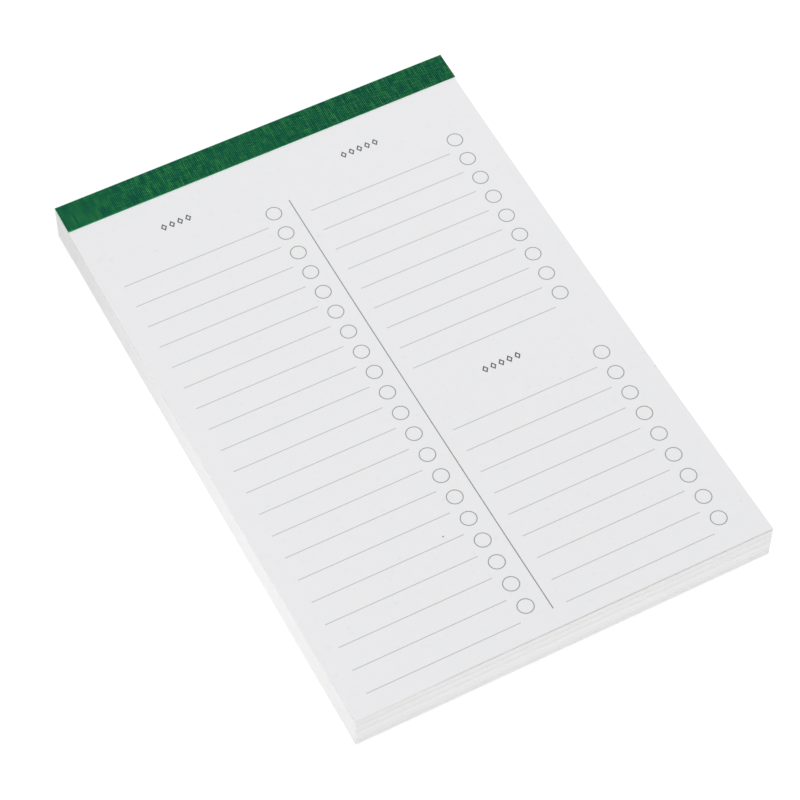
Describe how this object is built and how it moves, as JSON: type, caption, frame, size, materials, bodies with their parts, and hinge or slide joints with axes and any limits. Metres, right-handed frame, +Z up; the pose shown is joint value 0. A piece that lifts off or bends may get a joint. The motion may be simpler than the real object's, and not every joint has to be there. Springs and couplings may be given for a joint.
{
  "type": "legal pad",
  "caption": "Padded writing block bound at the head with a green cloth strip, its sheets printed with a two-column check list of rules and rings.",
  "frame": {"origin": "under the middle of the pad, on the surface that it lies on", "axes": "+X to the right across the page, +Y up the page to the bound head, +Z up out of the page"},
  "size_m": [0.1526, 0.2298, 0.0155],
  "materials": {
    "green_cloth": "plain woven book cloth, matt",
    "adhesive": "dried padding adhesive, dull",
    "page_paper": "uncoated, matt",
    "pale_board": "uncoated, matt",
    "rule_ink": "pale grey print, matt",
    "ring_ink": "grey print, matt",
    "divider_ink": "grey print, matt",
    "heading_ink": "dark grey print, matt"
  },
  "bodies": {
    "root": {"binding_strip": "green_cloth", "padding_glue": "adhesive", "sheet_block": "page_paper", "backing_board": "pale_board", "ruled_lines": "rule_ink", "check_circles": "ring_ink", "column_divider": "divider_ink", "heading_marks": "heading_ink"}
  },
  "joints": []
}
